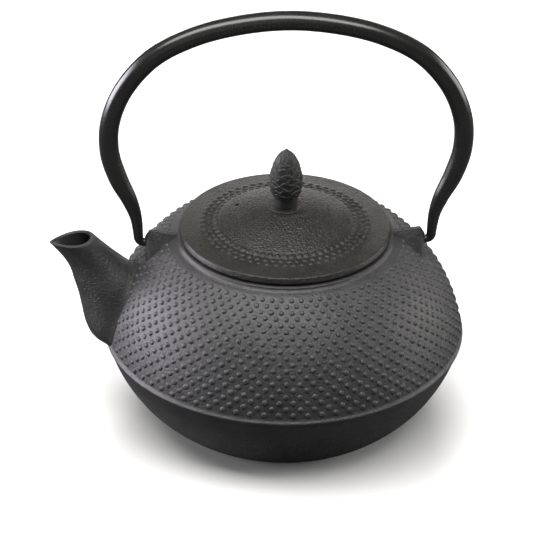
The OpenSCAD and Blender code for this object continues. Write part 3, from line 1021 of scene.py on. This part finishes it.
HOOK_ROUND = 3.0
HOOK_X = EAR_NOSE_X + 0.2
BAIL_R, BAIL_FOOT_R, HOOK_END_R = 4.8, 2.4, 2.0
BAIL_HALF = np.array([
    [0, 215.7, BAIL_R], [23, 213.5, BAIL_R], [44.6, 207.6, BAIL_R], [64, 197, BAIL_R],
    [78, 180.8, BAIL_R], [85.3, 163, BAIL_R], [86.2, 146, BAIL_R], [82.3, 131, BAIL_R - 0.1],
    [76.8, 118.5, 3.9], [73.7, 108.5, 3], [HOOK_X + HOOK_ROUND, pivot_z + HOOK_ROUND + 1, BAIL_FOOT_R]])
BAIL_SIDES, BAIL_STEPS, HOOK_STEPS = 40, 8, 10
PIN_R, PIN_END = 1.7, EAR_NOSE_X - 6.5


def bail_path():
    """Half of the bail's centre line, [x, z, radius], from the top of its arch to its pin's end."""
    before = BAIL_HALF[1] * (-1, 1, 1)
    keys = np.vstack((before, BAIL_HALF))
    half = [spline(keys, i / BAIL_STEPS) for i in range(BAIL_STEPS, (len(keys) - 1) * BAIL_STEPS + 1)]
    for i in range(HOOK_STEPS + 1):
        a = math.pi / 2 * i / HOOK_STEPS
        half.append(np.array([HOOK_X + HOOK_ROUND * math.cos(a), pivot_z + HOOK_ROUND * (1 - math.sin(a)),
                              BAIL_FOOT_R - (BAIL_FOOT_R - HOOK_END_R) * i / HOOK_STEPS]))
    for x, r in ((HOOK_X - 0.25, HOOK_END_R), (HOOK_X - 0.4, PIN_R + 0.05), (HOOK_X - 0.6, PIN_R),
                 (HOOK_X - 4, PIN_R), (PIN_END + 0.5, PIN_R), (PIN_END + 0.2, PIN_R - 0.2),
                 (PIN_END + 0.02, PIN_R - 0.6)):
        half.append(np.array([x, pivot_z, r]))
    return half


def make_bail():
    half = bail_path()
    path = [np.array([-x, z, r]) for x, z, r in half[:0:-1]] + half
    rings = []
    for i, (x, z, r) in enumerate(path):
        ahead, behind = path[min(len(path) - 1, i + 1)], path[max(0, i - 1)]
        run = ahead[:2] - behind[:2]
        side = np.array((-run[1], run[0])) / np.linalg.norm(run)
        rings.append([(x + r * math.cos(a) * side[0], r * math.sin(a), z + r * math.cos(a) * side[1])
                      for a in (TURN * k / BAIL_SIDES for k in range(BAIL_SIDES))])
    bail = loft(rings).object("bail_tube", lacquer)
    shade(bail, 40)
    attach(bail, "handle")
    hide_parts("bail")


# ---------------------------------------------------------------- infuser

rim_low, rim_high = box_mm("infuser_rim")
wall_low, wall_high = box_mm("infuser_wall")
band_low_mm, band_high_mm = box_mm("infuser_band")
floor_low, floor_high = box_mm("infuser_floor")
INFUSER_R = wall_high[1]
SHEET_T = 0.5
HOLES_ROUND, HOLE_ROWS = 104, 13
HOLE_R = 0.6
HOLE_PITCH, FLOOR_BORDER = 3.0, 4.5
PLAIN_EDGE = 1.2
INFUSER_COLUMNS = 192


def finish_infuser(piece, node):
    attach(piece, "infuser")
    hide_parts(node)


def closed_round(corners, round_by):
    """A closed outline with every corner rounded."""
    loop = [corners[-1]] + corners + [corners[0]]
    return rounded([(x, z, round_by) for x, z in loop], 3)[1:-1]


def make_rim():
    r = INFUSER_R
    low, high, flange_r = rim_low[2], rim_high[2], rim_high[1]
    corners = [(r - 0.6, low), (r + 0.4, low), (r + 0.4, high - 1), (flange_r, high - 1),
               (flange_r, high), (r - 0.2, high), (r - 0.6, high - 0.5)]
    skin = Skin()
    first, last = skin.revolve(closed_round(corners, 0.4), INFUSER_COLUMNS)
    skin.band(last, first)
    rim = skin.object("infuser_collar", polished)
    shade(rim, 40)
    finish_infuser(rim, "infuser_rim")


def make_foot_band():
    r = INFUSER_R
    low, high = band_low_mm[2], band_high_mm[2]
    corners = [(r - 4, low), (r + 0.4, low), (r + 0.4, high), (r - 0.6, high),
               (r - 0.6, low + 0.6), (r - 4, low + 0.6)]
    skin = Skin()
    first, last = skin.revolve(closed_round(corners, 0.25), INFUSER_COLUMNS)
    skin.band(last, first)
    band = skin.object("infuser_foot_band", polished)
    shade(band, 40)
    finish_infuser(band, "infuser_band")


def make_mesh_wall():
    """The perforated wall: staggered rows of real holes between a plain edge at the top and foot."""
    low, high = wall_low[2] + PLAIN_EDGE, wall_high[2] - PLAIN_EDGE
    columns = HOLES_ROUND * 2
    tall = (high - low) / HOLE_ROWS
    skin = Skin()

    def at(column, z, inner):
        turn = TURN * column / columns
        r = INFUSER_R - (SHEET_T if inner else 0)
        return r * math.cos(turn), r * math.sin(turn), z

    faces = []
    edges = []
    for inner in (False, True):
        lines = [skin.add(at(c, low + tall * k, inner) for c in range(columns))
                 for k in range(HOLE_ROWS + 1)]
        rows = []
        for row in range(HOLE_ROWS):
            z = low + tall * (row + 0.5)
            shift = row % 2
            sides = skin.add(at(2 * i + shift, z, inner) for i in range(HOLES_ROUND))
            holes = []
            for i in range(HOLES_ROUND):
                start = 2 * i + shift
                around = [(start + k) % columns for k in range(3)]
                border = ([lines[row][c] for c in around] + [sides[(i + 1) % HOLES_ROUND]]
                          + [lines[row + 1][c] for c in reversed(around)] + [sides[i]])
                step = HOLE_R / INFUSER_R * columns / TURN
                hole = skin.add(at(start + 1 + step * math.cos(a), z + HOLE_R * math.sin(a), inner)
                                for a in (math.radians(-135 + 45 * k) for k in range(8)))
                faces.append((border, hole, inner))
                holes.append(hole)
            rows.append(holes)
        foot = skin.add(at(c, wall_low[2], inner) for c in range(columns))
        top = skin.add(at(c, wall_high[2], inner) for c in range(columns))
        edges.append((foot, lines[0], lines[-1], top, rows))
    for border, hole, inner in faces:
        if inner:
            skin.band(hole, border)
        else:
            skin.band(border, hole)
    outer, inner = edges
    skin.band(outer[0], outer[1])
    skin.band(outer[2], outer[3])
    skin.band(inner[1], inner[0])
    skin.band(inner[3], inner[2])
    skin.band(inner[0], outer[0])
    skin.band(outer[3], inner[3])
    for outer_row, inner_row in zip(outer[4], inner[4]):
        for outer_hole, inner_hole in zip(outer_row, inner_row):
            skin.band(outer_hole, inner_hole)
    wall = skin.object("infuser_mesh_wall", polished)
    shade(wall, 40)
    finish_infuser(wall, "infuser_wall")


def make_mesh_floor():
    """The perforated floor: a thin disc cut by hexagonally spaced holes."""
    pitch = HOLE_PITCH
    r = floor_high[1]
    skin = Skin()
    low, high = floor_low[2], floor_high[2]
    skin.revolve([(0, low), (r, low), (r, high), (0, high)], 96)
    disc = skin.object("infuser_mesh_floor", polished)
    cutter = Skin()
    reach = int(r / pitch) + 1
    for row in range(-reach - 2, reach + 3):
        for column in range(-reach, reach + 1):
            x = (column + 0.5 * (row % 2)) * pitch
            y = row * pitch * math.sqrt(3) / 2
            if math.hypot(x, y) < r - FLOOR_BORDER:
                ends = [cutter.add((*polar((x, y), HOLE_R, TURN * k / 10), z) for k in range(10))
                        for z in (low - 1, high + 1)]
                cutter.band(ends[0], ends[1])
                cutter.faces.append(tuple(ends[0][::-1]))
                cutter.faces.append(tuple(ends[1]))
    boolean(disc, cutter.object("holes_form", polished), "DIFFERENCE")
    shade(disc, 40)
    finish_infuser(disc, "infuser_floor")


# ---------------------------------------------------------------- assembly

make_vessel()
make_lid()
make_knob()
make_bail()
make_rim()
make_foot_band()
make_mesh_wall()
make_mesh_floor()

for node_name in ("knob_screw", "knob_washer"):
    node = frame["nodes"][node_name]
    node.data.materials.clear()
    node.data.materials.append(hardware)
